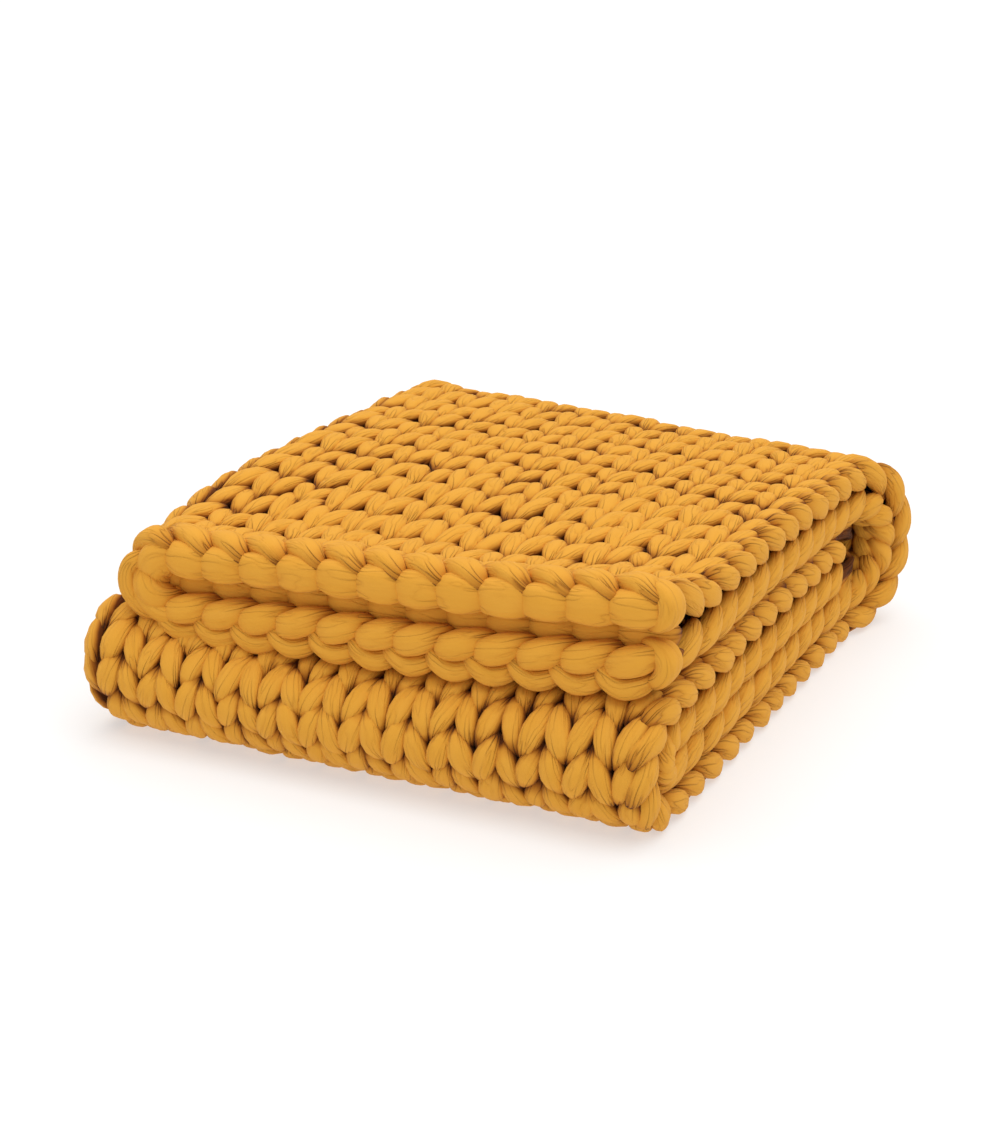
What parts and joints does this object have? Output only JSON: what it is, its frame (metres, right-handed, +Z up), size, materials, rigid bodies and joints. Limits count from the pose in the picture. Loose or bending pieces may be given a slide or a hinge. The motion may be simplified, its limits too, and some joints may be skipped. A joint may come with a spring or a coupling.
{
  "type": "weighted blanket, folded",
  "caption": "Chunky hand-knitted weighted blanket of thick jersey cord, doubled along one side and folded over into a flat stack.",
  "frame": {"origin": "middle of the base, on the surface that the folded cloth lies on", "axes": "+X across the folded cloth, from its doubled side to its free side edges; +Y to its back, where the first turn is; +Z up"},
  "size_m": [0.6196, 0.717, 0.2235],
  "materials": {
    "jersey": "matt ochre cotton jersey cord, fine ribs along each strand, soft wrinkles where it bends"
  },
  "bodies": {
    "root": {"blanket": "jersey"}
  },
  "joints": []
}
